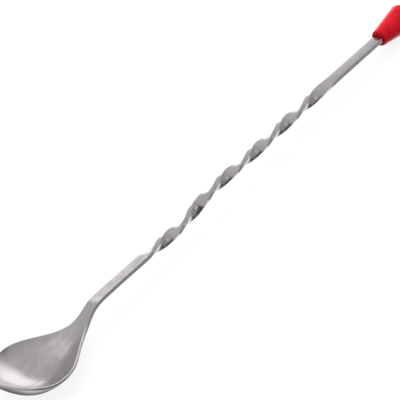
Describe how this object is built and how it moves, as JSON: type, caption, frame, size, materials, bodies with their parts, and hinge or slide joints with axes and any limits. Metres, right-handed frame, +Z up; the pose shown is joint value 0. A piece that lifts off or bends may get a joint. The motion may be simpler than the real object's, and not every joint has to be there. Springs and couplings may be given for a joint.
{
  "type": "bar spoon",
  "caption": "Long bar spoon: polished stainless bowl and flat bar handle with a twisted middle, and a tapered red plastic knob on its end.",
  "frame": {"origin": "on the surface the spoon lies on, below the middle of its bounding box", "axes": "+X along the handle from bowl to knob, +Z up and the way the bowl opens, +Y across the bowl"},
  "size_m": [0.281, 0.0334, 0.0146],
  "materials": {
    "stainless_steel": "polished stainless steel with fine lengthwise polishing lines and light use marks",
    "red_plastic": "glossy moulded red plastic with a faint parting line"
  },
  "bodies": {
    "spoon_body": {"spoon": "stainless_steel"},
    "knob_body": {"knob": "red_plastic"}
  },
  "joints": [
    {"name": "knob_pull_off", "type": "slide", "parent": "spoon_body", "child": "knob_body", "axis": [0.9994, 0, -0.0355], "range_m": [0, 0.02]}
  ]
}
